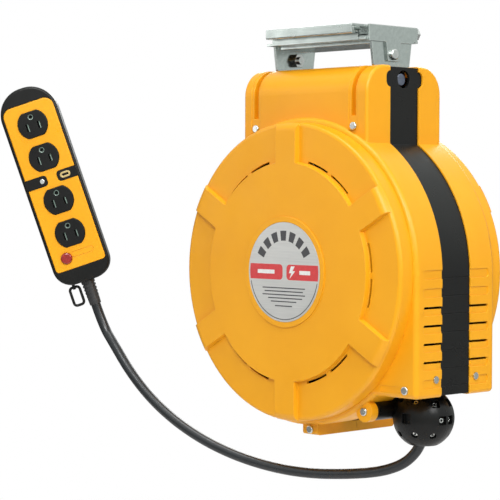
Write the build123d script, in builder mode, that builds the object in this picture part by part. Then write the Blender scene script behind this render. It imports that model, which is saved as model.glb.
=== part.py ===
from build123d import *
import math
import os

# Retractable extension cord reel that hangs from a ceiling rail. Millimetres.
# Origin: centre of the rail's top face, on the ceiling. +X to the cord's side, +Y to the back, +Z up.

os.makedirs("parts", exist_ok=True)

# ---------------------------------------------------------------- driving dimensions
WALL = 3.0                # moulded shells
SHEET = 3.0               # pressed steel
SIDE_GAP = 0.3            # between bodies that move on each other
RUN_FIT = 0.05            # radial clearance of shafts and pins

CORD_D = 10.5
CORD_TURNS = 11           # turns in each layer of the winding
CORD_LAYERS = 3

DRUM_Z = -247.0           # drum axis, along Y at X = 0
DRUM_FLANGE_R = 127.0
DRUM_SHEET = 2.5
AXLE_R = 10.0
BUSH_R = 14.0
LEAD_X = 114.0            # the cord runs straight down here

BODY_R = 155.0            # casing round the drum
BODY_Y = 59.0             # half depth of the casing
BODY_EDGE = 5.0
BAND_Y = 21.35            # half width of the black centre band
BAND_INSET = 1.5
HEAD_X = 86.5             # half width of the casing's head
HEAD_Y = 55.5
HEAD_TOP = -41.0
HEAD_ROUND = 27.0
BLOCK_BOTTOM = -364.5     # lower corner block with the louvres
FOOT_X = (3.0, 24.0)
FOOT_DROP = 9.0           # the foot bar's depth below the round casing
LOBE_TURN, LOBE_OUT = -57.25, 4.9   # the lobe's bearing, and its middle's distance past the casing
LOBE_R, LOBE_DEPTH = 10.5, 9.0
UNDER_Y = 57.0            # half depth of the foot bar and the lobes

COVER_R = 150.0           # round covers, front and back
COVER_FLOOR = 76.5        # distance of the sectors' floor from the middle plane
COVER_TOP = 81.5          # distance of the raised star from the middle plane
COVER_WALL = 2.5
COVER_EDGE = 4.0
COVER_HOLE_R = 138.0      # opening in the shells, behind each cover
STAR_R = 111.0
STAR_ARM = 30.0
STAR_TIP = 138.0          # outer end of the hollow behind each arm
STAR_CORNER = 12.0
SECTORS = 6
SLIT_W, SLIT_TURN = 2.8, 14.5       # vents at the foot of the star, in degrees round the axis
LABEL_R = 50.0
LABEL_BEAD_R = 55.5

GLAND_R, GLAND_BORE_R = 9.0, 4.5
GLAND_AT = (-62.0, -200.0)

PIVOT_Z = -54.5           # swing pin, along X
BOLT_Z = -29.0
LOCK_R, LOCK_AT = 2.5, (52.0, -5.0)
PAWL_AT, PAWL_PIN_R = (0.0, -185.0), 3.0
PIN_R = 5.0
PIN_HEAD_R = 6.5
EAR_X = 66.0              # inner face of each ear
EAR_SWEEP = 34.0          # the ears swing within this half length
RAIL_X, RAIL_Y, RAIL_DROP = 60.0, 50.0, 10.0
RAIL_SHEET = 2.5
RAIL_LIP = 9.0
CEILING_HOLE_R = 4.5
CEILING_PITCH_X, CEILING_PITCH_Y = 80.0, 50.0

LOUVRE_TOP = -276.4       # the highest slot
LOUVRE_PITCH = 17.5
POCKET_H, POCKET_DEPTH = 8.7, 1.0
SLOT_H = 2.3
GROOVE_W, GROOVE_DEPTH, GROOVE_LOW = 6.5, 7.0, -91.5
STRAP_W, STRAP_DEPTH, STRAP_LOW = 13.0, 0.6, -110.0   # shallow strip round each groove

BALL_R = 30.5
BALL_Z = -389.0
BUMPER_R = 20.0

ROLLER_R = 9.0
ROLLER_Z = -338.0
ROLLER_HALF = 14.5
ROLLER_PIN_R = 3.0
CHEEK = 3.0

SCREW_R, SCREW_HEAD_R, SCREW_HEAD = 2.0, 4.2, 2.2
SCREW_LENGTH = 14.0
SIDE_HEAD_R = 3.5
OBLONG_W, OBLONG_H = 54.0, 16.0

TAP_CENTRE = (-279.7, -152.9, -160.1)
TAP_FACING = 47.0         # the face's azimuth
TAP_LEAN = 19.0           # the strip leans this far from upright
TAP_L, TAP_W, TAP_T = 218.0, 62.5, 34.0
TAP_BOOT = 27.0           # strain relief
PLATE_W, PLATE_END = 56.0, 17.0     # cover plate, and its distance from the strip's ends
OUTLET_MID = 7.0          # middle of the outlets and the clasp, above the strip's middle
OUTLET_PITCH = 37.1
OUTLET_GAP = 48.5
OUTLET_R, OUTLET_FLAT = 16.2, 13.9
BLADE_W, BLADE_X = 3.0, 6.35
LAMP_R = 6.2

CORD_ROUTE = [
    (114.0, 0.0, -392.0), (114.0, 0.0, -407.0), (108.4, -0.9, -421.1), (99.0, -4.2, -432.6),
    (87.0, -8.4, -440.5), (67.4, -15.5, -447.3), (36.0, -27.4, -451.6), (-2.0, -41.9, -453.8),
    (-39.4, -56.1, -450.5), (-76.8, -70.3, -442.0), (-112.4, -83.7, -428.5), (-146.5, -94.8, -410.1),
    (-177.2, -103.5, -387.5), (-204.4, -109.9, -360.3), (-227.2, -113.8, -330.9),
    (-243.7, -114.3, -313.3),
]

# ---------------------------------------------------------------- worked out from them
CORD_R = CORD_D / 2
LAYER_PITCH = CORD_D * math.sqrt(3) / 2
WOUND_R = LEAD_X - CORD_R - SIDE_GAP
CORE_R = WOUND_R - CORD_D - (CORD_LAYERS - 1) * LAYER_PITCH
DRUM_Y = CORD_TURNS * CORD_D / 2 + SIDE_GAP
DRUM_FACE = DRUM_Y + DRUM_SHEET
HUB_WALL = 3.0
SPRING_R = CORE_R - HUB_WALL
RATCHET_Y = (DRUM_FACE, DRUM_FACE + 3.6)
ARM_Y = RATCHET_Y[1] + 1.8
CHAMBER_WEB = 3.0
ARBOR_R = 18.0
COVER_INSIDE = COVER_TOP - COVER_WALL
ROLLER_OFFSET = CORD_R + SIDE_GAP + ROLLER_R
HEAD_SCREWS = [(-68.5, -102.0), (68.5, -102.0)]
BLOCK_X = BODY_R
FOOT_BOTTOM = DRUM_Z - BODY_R - FOOT_DROP
LOBE_X = (BODY_R + LOBE_OUT) * math.cos(math.radians(LOBE_TURN))
LOBE_Z = DRUM_Z + (BODY_R + LOBE_OUT) * math.sin(math.radians(LOBE_TURN))
BODY_SCREWS = [(BLOCK_X - 14, BLOCK_BOTTOM + 8), (sum(FOOT_X) / 2, FOOT_BOTTOM + 5.4), (LOBE_X, LOBE_Z)]
SIDE_SCREWS = [(30.0, BLOCK_BOTTOM + 17.5)]
FRAME_X = 60.0
LUG_R = 8.5
FRAME_Y = 44.0
FRAME_PLATE = (-79.0, -76.0)
ARM_JOG = (-115.0, -112.0)
ARM_W = 56.0
FRAME_BOLTS = [(-18.0, -90.0), (18.0, -90.0)]


def at_y(y):
    """A sketch plane at this Y, with X across and Z up, facing -Y."""
    return Plane(origin=(0, y, 0), x_dir=(1, 0, 0), z_dir=(0, -1, 0))


def at_axis(y):
    """A sketch plane at this Y, facing -Y, with the drum's axis as its origin."""
    return Plane(origin=(0, y, DRUM_Z), x_dir=(1, 0, 0), z_dir=(0, -1, 0))


def at_x(x):
    """A sketch plane at this X, with Y across and Z up, facing +X."""
    return Plane(origin=(x, 0, 0), x_dir=(0, 1, 0), z_dir=(1, 0, 0))


def ring_y(outer, inner, y0, y1, centre=(0, DRUM_Z), mode=Mode.ADD):
    """A disc or ring along Y from y0 to y1, added to the sub-part being built."""
    with BuildSketch(at_y(y0)) as profile:
        with Locations(centre):
            Circle(outer)
            if inner:
                Circle(inner, mode=Mode.SUBTRACT)
    extrude(profile.sketch, amount=y0 - y1, mode=mode)


def ring_x(outer, inner, x0, x1, centre, mode=Mode.ADD):
    """A disc or ring along X from x0 to x1."""
    with BuildSketch(at_x(x0)) as profile:
        with Locations(centre):
            Circle(outer)
            if inner:
                Circle(inner, mode=Mode.SUBTRACT)
    extrude(profile.sketch, amount=x1 - x0, mode=mode)


def ring_z(outer, inner, z0, z1, centre, mode=Mode.ADD):
    """A disc or ring along Z from z0 to z1."""
    with BuildSketch(Plane.XY.offset(z0)) as profile:
        with Locations(centre):
            Circle(outer)
            if inner:
                Circle(inner, mode=Mode.SUBTRACT)
    extrude(profile.sketch, amount=z1 - z0, mode=mode)


def block(x, y, z, mode=Mode.ADD):
    """A box from three (low, high) pairs."""
    with Locations((sum(x) / 2, sum(y) / 2, sum(z) / 2)):
        Box(x[1] - x[0], y[1] - y[0], z[1] - z[0], mode=mode)


def save(builder, name):
    builder.part.label = name
    export_step(builder.part, f"parts/{name}.step")


# ---------------------------------------------------------------- casing outline
def head_half(inset, y_open):
    """The front half of the casing's head, from its rounded front to y_open."""
    front = -(HEAD_Y - inset)
    top = HEAD_TOP - inset
    with BuildPart() as half:
        with BuildSketch(Plane.YZ) as side:
            with BuildLine():
                Polyline((y_open, DRUM_Z), (y_open, top), (front, top), (front, DRUM_Z), close=True)
            make_face()
            fillet(side.vertices().group_by(Axis.X)[0].sort_by(Axis.Y)[-1], HEAD_ROUND - inset)
        extrude(amount=HEAD_X - inset, both=True)
        if inset == 0:
            ends = half.faces().filter_by(Axis.X)
            soft = ends.edges().filter_by(
                lambda e: e.center().Y < y_open - 1 and e.center().Z > DRUM_Z + 1)
            fillet(soft, WALL)
    return half.part


def body_half(inset, y_open):
    """The front half of the round casing with its corner block."""
    front = -(BODY_Y - inset)
    with BuildPart() as half:
        with BuildSketch(at_y(front)) as outline:
            with Locations((0, DRUM_Z)):
                Circle(BODY_R - inset)
            right, bottom = BLOCK_X - inset, BLOCK_BOTTOM + inset
            with BuildLine():
                Polyline((0, DRUM_Z), (right, DRUM_Z), (right, bottom), (0, bottom), close=True)
            make_face()
            corner = outline.vertices().sort_by(lambda v: v.X - v.Y)[-1]
            fillet(corner, 4.0)
        extrude(amount=front - y_open)
        if inset == 0:
            fillet(half.faces().sort_by(Axis.Y)[0].edges(), BODY_EDGE)
    return half.part


def band_sketch(inset):
    """The casing's outline, drawn in the sketch being built."""
    with Locations((0, DRUM_Z)):
        Circle(BODY_R - inset)
    width = 2 * (HEAD_X - inset)
    head = HEAD_TOP - inset - DRUM_Z
    with Locations((0, DRUM_Z + head / 2)):
        Rectangle(width, head)
    drop = DRUM_Z - BLOCK_BOTTOM - inset
    with Locations(((BLOCK_X - inset) / 2, DRUM_Z - drop / 2)):
        Rectangle(BLOCK_X - inset, drop)


def swing_slots():
    """Clears the ears where they enter the head, over the whole swing."""
    for side in (-1, 1):
        middle, half = side * (EAR_X + SHEET / 2), SHEET / 2 + 2.1
        block((middle - half, middle + half), (-EAR_SWEEP, EAR_SWEEP), (HEAD_TOP - 32, HEAD_TOP + 1),
              Mode.SUBTRACT)


def side_oblongs(inner, outer, grow, mode):
    """The oblong in each end of the head, in line with the swing pin, from inner to outer X."""
    for side in (-1, 1):
        with BuildSketch(at_x(side * inner)) as oblong:
            with Locations((0, PIVOT_Z)):
                RectangleRounded(OBLONG_W + 2 * grow, OBLONG_H + 2 * grow, 6 + grow)
        extrude(oblong.sketch, amount=side * (outer - inner), mode=mode)


def ball_room():
    """Clears the ball stopper under the casing."""
    with Locations((LEAD_X, 0, BALL_Z)):
        Sphere(BALL_R + SIDE_GAP, mode=Mode.SUBTRACT)


def under_parts():
    """The foot bar and the lobe below the round casing, front half."""
    with BuildPart() as under:
        block(FOOT_X, (-UNDER_Y, -SIDE_GAP / 2), (FOOT_BOTTOM, DRUM_Z - BODY_R + 5))
        fillet(under.faces().sort_by(Axis.Y)[0].edges().sort_by(Axis.Z)[0], 3)
        ring_y(LOBE_R, 0, -UNDER_Y, -UNDER_Y + LOBE_DEPTH, (LOBE_X, LOBE_Z))
        ring_y(BODY_R - WALL / 2, 0, -BODY_Y, -BAND_Y, mode=Mode.SUBTRACT)
        ring_y(BODY_R, 0, -BAND_Y, 1, mode=Mode.SUBTRACT)
    return under.part


def groove(x, width, depth, low):
    """What a groove over the head's front and top takes away."""
    with BuildPart() as cut:
        block((x - width / 2, x + width / 2), (-HEAD_Y - 1, -26), (low, HEAD_TOP + 1))
        add(head_half(depth, 0), mode=Mode.SUBTRACT)
    return cut.part


def louvre_top(row):
    """The height of a louvre's top edge, counted down from the highest slot."""
    return LOUVRE_TOP - LOUVRE_PITCH * row


# ---------------------------------------------------------------- front shell
outer_body = body_half(0, -BAND_Y)
outer_head = head_half(0, -BAND_Y)
inner_body = body_half(WALL, 0)
inner_head = head_half(WALL, 0)

with BuildPart() as front_shell:
    add(outer_body)
    add(outer_head)
    add(inner_body, mode=Mode.SUBTRACT)
    add(inner_head, mode=Mode.SUBTRACT)
    ring_y(COVER_HOLE_R, 0, -BODY_Y - 1, -BODY_Y + WALL + 1, mode=Mode.SUBTRACT)
    add(under_parts())
    # bosses behind the screws
    for x, z in HEAD_SCREWS:
        ring_y(5, 0, -HEAD_Y + 1, -HEAD_Y + 16, (x, z))
    ring_y(5, 0, -BODY_Y + 1, -BODY_Y + 18, BODY_SCREWS[0])
    for y, z in SIDE_SCREWS:
        ring_x(5, 0, BLOCK_X - 17, BLOCK_X - 1, (-y, z))
    # a deep groove in a shallow strip on each side of the head, wrapped over its top, with a wall behind it
    for x, _ in HEAD_SCREWS:
        with BuildPart(mode=Mode.PRIVATE) as rib:
            add(groove(x, GROOVE_W + 2 * WALL, GROOVE_DEPTH + WALL, GROOVE_LOW - WALL))
            add(outer_head, mode=Mode.INTERSECT)
        add(rib.part)
        add(groove(x, STRAP_W, STRAP_DEPTH, STRAP_LOW), mode=Mode.SUBTRACT)
        add(groove(x, GROOVE_W, GROOVE_DEPTH, GROOVE_LOW), mode=Mode.SUBTRACT)
    # shallow recess beside the block's screw
    x, z = BODY_SCREWS[0]
    block((x - 33, x - 5), (-BODY_Y - 1, -BODY_Y + 0.6), (z - 3, z + 3), Mode.SUBTRACT)
    # louvres: a pocket with a slot along its top
    for row in range(-2, 5):
        top = louvre_top(row)
        with BuildSketch(at_x(BLOCK_X + 1)):
            with Locations((-37, top - POCKET_H / 2)):
                RectangleRounded(24, POCKET_H, 3)
            with Locations((-29, top - POCKET_H / 2)):
                Rectangle(18, POCKET_H)
        extrude(amount=-1 - POCKET_DEPTH, mode=Mode.SUBTRACT)
        if 0 <= row <= 3:
            block((BLOCK_X - 5, BLOCK_X + 1), (-48, -20), (top - SLOT_H, top), Mode.SUBTRACT)
            block((BLOCK_X - 1.6, BLOCK_X + 1), (-24, -20), (top - 7, top - 2), Mode.SUBTRACT)
    swing_slots()
    side_oblongs(HEAD_X - WALL - 1, HEAD_X + 1, SIDE_GAP / 2, Mode.SUBTRACT)
    ball_room()
    # holes for the screws
    for x, z in HEAD_SCREWS:
        ring_y(SCREW_R + RUN_FIT, 0, -HEAD_Y - 1, -HEAD_Y + 17, (x, z), Mode.SUBTRACT)
    ring_y(SCREW_R + RUN_FIT, 0, -BODY_Y - 1, -BODY_Y + 19, BODY_SCREWS[0], Mode.SUBTRACT)
    for spot in BODY_SCREWS[1:]:
        ring_y(SCREW_R + RUN_FIT, 0, -BODY_Y, -40, spot, Mode.SUBTRACT)
    for y, z in SIDE_SCREWS:
        ring_x(SCREW_R + RUN_FIT, 0, BLOCK_X - 18, BLOCK_X + 1, (-y, z), Mode.SUBTRACT)
        ring_x(SIDE_HEAD_R + SIDE_GAP, 0, BLOCK_X - 1, BLOCK_X + 1, (-y, z), Mode.SUBTRACT)
save(front_shell, "front_shell")

with BuildPart() as rear_shell:
    add(mirror(front_shell.part, about=Plane.XZ))
save(rear_shell, "rear_shell")

with BuildPart() as centre_band:
    with BuildSketch(at_y(-BAND_Y)):
        band_sketch(BAND_INSET)
    extrude(amount=-2 * BAND_Y)
    with BuildSketch(at_y(-BAND_Y - 1)):
        band_sketch(BAND_INSET + WALL)
    extrude(amount=-2 * BAND_Y - 2, mode=Mode.SUBTRACT)
    for row in range(-2, 5):
        step, face = louvre_top(row) - 7.1, BLOCK_X - BAND_INSET
        if step < DRUM_Z:
            block((face - 0.7, face + 1), (-BAND_Y - 1, BAND_Y + 1), (step - 0.8, step), Mode.SUBTRACT)
    # the bar between the two lobes
    with BuildPart(mode=Mode.PRIVATE) as bar:
        reach = UNDER_Y - LOBE_DEPTH
        ring_y(LOBE_R - 0.8, 0, -reach, reach, (LOBE_X, LOBE_Z))
        for side in (-1, 1):
            ring_y(BODY_R, 0, side * BAND_Y, side * (reach + 1), mode=Mode.SUBTRACT)
        ring_y(BODY_R - BAND_INSET - 1, 0, -BAND_Y, BAND_Y, mode=Mode.SUBTRACT)
        for side in (-1, 1):
            ring_y(SCREW_R + RUN_FIT, 0, side * (UNDER_Y - SCREW_LENGTH - 1), side * UNDER_Y,
                   (LOBE_X, LOBE_Z), Mode.SUBTRACT)
    add(bar.part)
    side_oblongs(HEAD_X - BAND_INSET - WALL, HEAD_X - BAND_INSET, 0, Mode.ADD)
    ring_z(BUMPER_R, 0, BLOCK_BOTTOM - 5, BLOCK_BOTTOM + 6, (LEAD_X, 0), Mode.SUBTRACT)
    ring_x(PIN_HEAD_R + 2.5, 0, -HEAD_X - 1, HEAD_X + 1, (0, PIVOT_Z), Mode.SUBTRACT)
    ball_room()
    ears = EAR_X + SHEET + 2
    block((-ears, ears), (-BAND_Y - 1, BAND_Y + 1), (HEAD_TOP - 8, HEAD_TOP), Mode.SUBTRACT)
save(centre_band, "centre_band")

with BuildPart() as top_strip:
    block((-EAR_X + 2, EAR_X - 2), (-BAND_Y, BAND_Y), (HEAD_TOP - BAND_INSET - WALL, HEAD_TOP - BAND_INSET))
save(top_strip, "top_strip")

# ---------------------------------------------------------------- round covers and label
def star(radius, arm, tip, corner):
    """The raised star of a cover, drawn in its own sketch on the middle plane."""
    with BuildSketch(at_y(0)) as shape:
        with Locations((0, DRUM_Z)):
            Circle(radius)
            with PolarLocations(0, SECTORS, start_angle=30):
                with Locations((tip / 2, 0)):
                    Rectangle(tip, arm)
        inside = shape.vertices().filter_by(lambda v: math.hypot(v.X, v.Z - DRUM_Z) < tip - 5)
        fillet(inside, corner)
    return shape.sketch


def cover_dish(radius, floor, edge):
    """A solid disc from the middle plane's side out to the cover's floor."""
    with BuildPart() as dish:
        ring_y(radius, 0, -floor, -BODY_Y)
        fillet(dish.faces().sort_by(Axis.Y)[0].edges(), edge)
    return dish.part


with BuildPart() as front_disc_cover:
    add(cover_dish(COVER_R, COVER_FLOOR, COVER_EDGE))
    # the star's arms follow the cover's rounded rim and run out at its edge
    rise = COVER_TOP - COVER_FLOOR
    with BuildPart(mode=Mode.PRIVATE) as raised:
        extrude(star(STAR_R, STAR_ARM, COVER_R, STAR_CORNER).moved(Location((0, -COVER_FLOOR + 1, 0))),
                amount=rise + 1, taper=12)
        add(cover_dish(COVER_R, COVER_TOP, COVER_EDGE + rise), mode=Mode.INTERSECT)
    add(raised.part)
    ring_y(COVER_R - COVER_WALL, 0, -COVER_FLOOR + COVER_WALL, -BODY_Y, mode=Mode.SUBTRACT)
    inner = star(STAR_R - 4, STAR_ARM - 8, STAR_TIP, STAR_CORNER).moved(Location((0, -COVER_FLOOR, 0)))
    extrude(inner, amount=COVER_INSIDE - COVER_FLOOR, both=True, mode=Mode.SUBTRACT)
    ring_y(LABEL_BEAD_R, LABEL_R + SIDE_GAP, -COVER_TOP - 1.3, -COVER_TOP)
    # two slits beside the middle of each sector
    for sector in range(SECTORS):
        for start in (1.5, -1.5 - SLIT_TURN):
            turns = [math.radians(360 / SECTORS * sector + start + more) for more in (0, SLIT_TURN)]
            with BuildSketch(at_axis(-COVER_FLOOR - 1)) as slit:
                Circle(STAR_R + SLIT_W)
                Circle(STAR_R + 0.4, mode=Mode.SUBTRACT)
                reach = [(COVER_R * math.cos(turn), COVER_R * math.sin(turn)) for turn in turns]
                with BuildLine():
                    Polyline((0, 0), *reach, close=True)
                make_face(mode=Mode.INTERSECT)
            extrude(amount=-COVER_WALL - 3, mode=Mode.SUBTRACT)
save(front_disc_cover, "front_disc_cover")

with BuildPart() as rear_disc_cover:
    add(mirror(front_disc_cover.part, about=Plane.XZ))
    ring_y(LABEL_BEAD_R + 2, 0, COVER_TOP, COVER_TOP + 3, mode=Mode.SUBTRACT)
    ring_y(GLAND_R + RUN_FIT, 0, COVER_INSIDE - 1, COVER_TOP + 2, GLAND_AT, Mode.SUBTRACT)
save(rear_disc_cover, "rear_disc_cover")

with BuildPart() as label_plate:
    ring_y(LABEL_R, 0, -COVER_TOP - 1.2, -COVER_TOP)
save(label_plate, "label_plate")

with BuildPart() as cable_gland:
    ring_y(GLAND_R, 0, COVER_INSIDE - 6, COVER_TOP, GLAND_AT)
    with BuildSketch(at_y(COVER_TOP)):
        with Locations(GLAND_AT):
            RegularPolygon(GLAND_R + 4, 6)
    extrude(amount=-6)
    ring_y(GLAND_R, 0, COVER_TOP + 6, COVER_TOP + 14, GLAND_AT)
    fillet(cable_gland.faces().sort_by(Axis.Y)[-1].edges(), 3)
    with BuildSketch(at_y(COVER_INSIDE)):
        with Locations(GLAND_AT):
            RegularPolygon(GLAND_R + 3, 6)
    extrude(amount=4)
    ring_y(GLAND_BORE_R, 0, COVER_INSIDE - 7, COVER_TOP + 15, GLAND_AT, Mode.SUBTRACT)
save(cable_gland, "cable_gland")

# ---------------------------------------------------------------- rail, slider and yoke
with BuildPart() as mount_rail:
    with BuildSketch(at_x(-RAIL_X)):
        with BuildLine():
            half = [(0, 0), (RAIL_Y, 0), (RAIL_Y, -RAIL_DROP), (RAIL_Y - RAIL_LIP, -RAIL_DROP),
                    (RAIL_Y - RAIL_LIP, -RAIL_DROP + RAIL_SHEET),
                     (RAIL_Y - RAIL_SHEET, -RAIL_DROP + RAIL_SHEET),
                    (RAIL_Y - RAIL_SHEET, -RAIL_SHEET), (0, -RAIL_SHEET)]
            Polyline(*half, *[(-y, z) for y, z in reversed(half[1:-1])], close=True)
        make_face()
    extrude(amount=2 * RAIL_X)
    fillet(mount_rail.edges().filter_by(Axis.X).filter_by(
        lambda e: abs(abs(e.center().Y) - RAIL_Y) < 0.1), 1.5)
    with Locations((0, 0, 0)):
        with GridLocations(CEILING_PITCH_X, CEILING_PITCH_Y, 2, 2):
            Hole(CEILING_HOLE_R, depth=RAIL_SHEET + 1)
    ring_y(LOCK_R + RUN_FIT, 0, RAIL_Y - RAIL_SHEET - 1, RAIL_Y + 1, LOCK_AT, Mode.SUBTRACT)
save(mount_rail, "mount_rail")

SLIDE_TOP = -RAIL_SHEET - 0.5
WEB_Y = RAIL_Y - RAIL_LIP - 0.5
SLIDE_BOTTOM = -RAIL_DROP - 6.0
END_X = EAR_X + SHEET
TONGUE_END = -36.0        # the tongues over the ears stop clear of the head at full swing
BOLT_R = 4.0
with BuildPart() as slide_plate:
    hat = [(0, SLIDE_BOTTOM), (WEB_Y, SLIDE_BOTTOM), (WEB_Y, -RAIL_DROP + RAIL_SHEET + 0.3),
           (RAIL_Y - RAIL_SHEET - 0.5, -RAIL_DROP + RAIL_SHEET + 0.3),
           (RAIL_Y - RAIL_SHEET - 0.5, SLIDE_TOP), (WEB_Y - RAIL_SHEET, SLIDE_TOP),
           (WEB_Y - RAIL_SHEET, SLIDE_BOTTOM + RAIL_SHEET), (0, SLIDE_BOTTOM + RAIL_SHEET)]
    with BuildSketch(at_x(-RAIL_X)):
        with BuildLine():
            Polyline(*hat, *[(-y, z) for y, z in reversed(hat[1:-1])], close=True)
        make_face()
    extrude(amount=2 * RAIL_X)
    # the bottom plate runs out to both ends
    block((-END_X, END_X), (-WEB_Y + 1, WEB_Y - 1), (SLIDE_BOTTOM, SLIDE_BOTTOM + RAIL_SHEET))
    # left tab and right flange, outside the yoke's ears
    with BuildSketch(at_x(END_X)):
        with BuildLine():
            Polyline((-36, -0.5), (36, -0.5), (36, -15), (31, -15), (31, -17), (11, -17),
                     (8, TONGUE_END), (-8, TONGUE_END), (-11, -17), (-36, -17), close=True)
        make_face()
    extrude(amount=RAIL_SHEET)
    with BuildSketch(at_x(-END_X - RAIL_SHEET)):
        with BuildLine():
            top = SLIDE_BOTTOM + RAIL_SHEET
            Polyline((-14, top), (14, top), (8, TONGUE_END), (-8, TONGUE_END), close=True)
        make_face()
    extrude(amount=RAIL_SHEET)
    block((-END_X - RAIL_SHEET, -RAIL_X), (-14, 14), (SLIDE_BOTTOM, SLIDE_BOTTOM + RAIL_SHEET))
    for side in (-1, 1):
        with Locations((side * 30, 0, SLIDE_BOTTOM + RAIL_SHEET)):
            Hole(6, depth=RAIL_SHEET)
    ring_x(BOLT_R + RUN_FIT, 0, -END_X - RAIL_SHEET - 1, END_X + RAIL_SHEET + 1, (0, BOLT_Z), Mode.SUBTRACT)
save(slide_plate, "slide_plate")

YOKE_TOP = SLIDE_BOTTOM
with BuildPart() as hanger_yoke:
    block((-EAR_X - SHEET, EAR_X + SHEET), (-26, 26), (YOKE_TOP - SHEET, YOKE_TOP))
    for side in (-1, 1):
        with BuildSketch(at_x(side * EAR_X)):
            with BuildLine():
                Polyline((-30, YOKE_TOP), (30, YOKE_TOP), (26.5, HEAD_TOP + 1), (12, PIVOT_Z), (-12, PIVOT_Z),
                         (-26.5, HEAD_TOP + 1), close=True)
            make_face()
            with Locations((0, PIVOT_Z)):
                Circle(12)
        extrude(amount=side * SHEET)
    ring_x(PIN_R + RUN_FIT, 0, -EAR_X - 9, EAR_X + 9, (0, PIVOT_Z), Mode.SUBTRACT)
    ring_x(BOLT_R + RUN_FIT, 0, -EAR_X - 9, EAR_X + 9, (0, BOLT_Z), Mode.SUBTRACT)
save(hanger_yoke, "hanger_yoke")

with BuildPart() as yoke_bolts:
    for side in (-1, 1):
        outer = side * (END_X + RAIL_SHEET)
        ring_x(BOLT_R, 0, side * (EAR_X - 9), outer, (0, BOLT_Z))
        ring_x(BOLT_R + 1.6, 0, outer, outer + side * 3, (0, BOLT_Z))
    fillet(yoke_bolts.faces().sort_by(Axis.X)[-1].edges() + yoke_bolts.faces().sort_by(Axis.X)[0].edges(), 1.5)
save(yoke_bolts, "yoke_bolts")

with BuildPart() as yoke_nuts:
    for side in (-1, 1):
        with BuildSketch(at_x(side * EAR_X)):
            with Locations((0, BOLT_Z)):
                RegularPolygon(7.5, 6)
                Circle(BOLT_R + RUN_FIT, mode=Mode.SUBTRACT)
        extrude(amount=-side * 6)
save(yoke_nuts, "yoke_nuts")

with BuildPart() as lock_screw:
    ring_y(LOCK_R, 0, WEB_Y + SIDE_GAP + 6.3, RAIL_Y, LOCK_AT)
    with BuildSketch(at_y(RAIL_Y + SIDE_GAP)):
        with Locations(LOCK_AT):
            RegularPolygon(6.5, 6)
    extrude(amount=-6)
    ring_y(LOCK_R, 0, RAIL_Y - 1, RAIL_Y + 9, LOCK_AT)
save(lock_screw, "lock_screw")

# ---------------------------------------------------------------- swing pin and inner frame
PIN_END = 79.0
with BuildPart() as swing_pin:
    ring_x(PIN_R, 0, -PIN_END, PIN_END, (0, PIVOT_Z))
    ring_x(PIN_HEAD_R, 0, PIN_END, PIN_END + 3, (0, PIVOT_Z))
    fillet(swing_pin.faces().sort_by(Axis.X)[-1].edges(), 1.2)
save(swing_pin, "swing_pin")

with BuildPart() as pin_nut:
    with BuildSketch(at_x(-PIN_END + 1)):
        with Locations((0, PIVOT_Z)):
            RegularPolygon(9, 6)
            Circle(PIN_R + RUN_FIT, mode=Mode.SUBTRACT)
    extrude(amount=5)
save(pin_nut, "pin_nut")

with BuildPart() as frame_top:
    block((-FRAME_X, FRAME_X), (-FRAME_Y, FRAME_Y), FRAME_PLATE)
    for side in (-1, 1):
        with BuildSketch(at_x(side * (FRAME_X - SHEET))):
            with BuildLine():
                Polyline((-20, FRAME_PLATE[0]), (20, FRAME_PLATE[0]), (LUG_R, PIVOT_Z), (-LUG_R, PIVOT_Z),
                         close=True)
            make_face()
            with Locations((0, PIVOT_Z)):
                Circle(LUG_R)
        extrude(amount=side * SHEET)
        block((-FRAME_X + 6, FRAME_X - 6), (side * FRAME_Y - SHEET / 2, side * FRAME_Y + SHEET / 2),
              (-104, FRAME_PLATE[1]))
    ring_x(PIN_R + RUN_FIT, 0, -FRAME_X - 1, FRAME_X + 1, (0, PIVOT_Z), Mode.SUBTRACT)
    for x, z in FRAME_BOLTS:
        ring_y(BOLT_R + RUN_FIT, 0, -FRAME_Y - 5, FRAME_Y + 5, (x, z), Mode.SUBTRACT)
save(frame_top, "frame_top")

TAB_Y = FRAME_Y + SHEET / 2
with BuildPart() as frame_arm_front:
    block((-ARM_W / 2, ARM_W / 2), (-TAB_Y - SHEET, -TAB_Y), (ARM_JOG[0], -80))
    block((-ARM_W / 2, ARM_W / 2), (-ARM_Y - SHEET, -TAB_Y), ARM_JOG)
    with BuildSketch(at_y(-ARM_Y - SHEET)):
        with BuildLine():
            Polyline((-ARM_W / 2, ARM_JOG[1]), (ARM_W / 2, ARM_JOG[1]), (24, DRUM_Z), (-24, DRUM_Z),
                     close=True)
        make_face()
        with Locations((0, DRUM_Z)):
            Circle(24)
    extrude(amount=-SHEET)
    for x, z in FRAME_BOLTS:
        ring_y(BOLT_R + RUN_FIT, 0, -TAB_Y - 5, -TAB_Y + 1, (x, z), Mode.SUBTRACT)
    ring_y(AXLE_R + RUN_FIT, 0, -ARM_Y - 5, -ARM_Y + 1, mode=Mode.SUBTRACT)
    ring_y(PAWL_PIN_R + RUN_FIT, 0, -ARM_Y - 5, -ARM_Y + 1, PAWL_AT, Mode.SUBTRACT)
save(frame_arm_front, "frame_arm_front")

with BuildPart() as frame_arm_rear:
    add(mirror(frame_arm_front.part, about=Plane.XZ))
save(frame_arm_rear, "frame_arm_rear")

with BuildPart() as frame_bolts:
    for x, z in FRAME_BOLTS:
        for side in (-1, 1):
            near, far = side * (TAB_Y - SHEET), side * (TAB_Y + SHEET)
            with BuildSketch(at_y(near)):
                with Locations((x, z)):
                    RegularPolygon(7, 6)
            extrude(amount=side * 4)
            ring_y(BOLT_R, 0, near, far, (x, z))
            ring_y(BOLT_R, 0, far, far + side * 1.5, (x, z))
save(frame_bolts, "frame_bolts")

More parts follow.
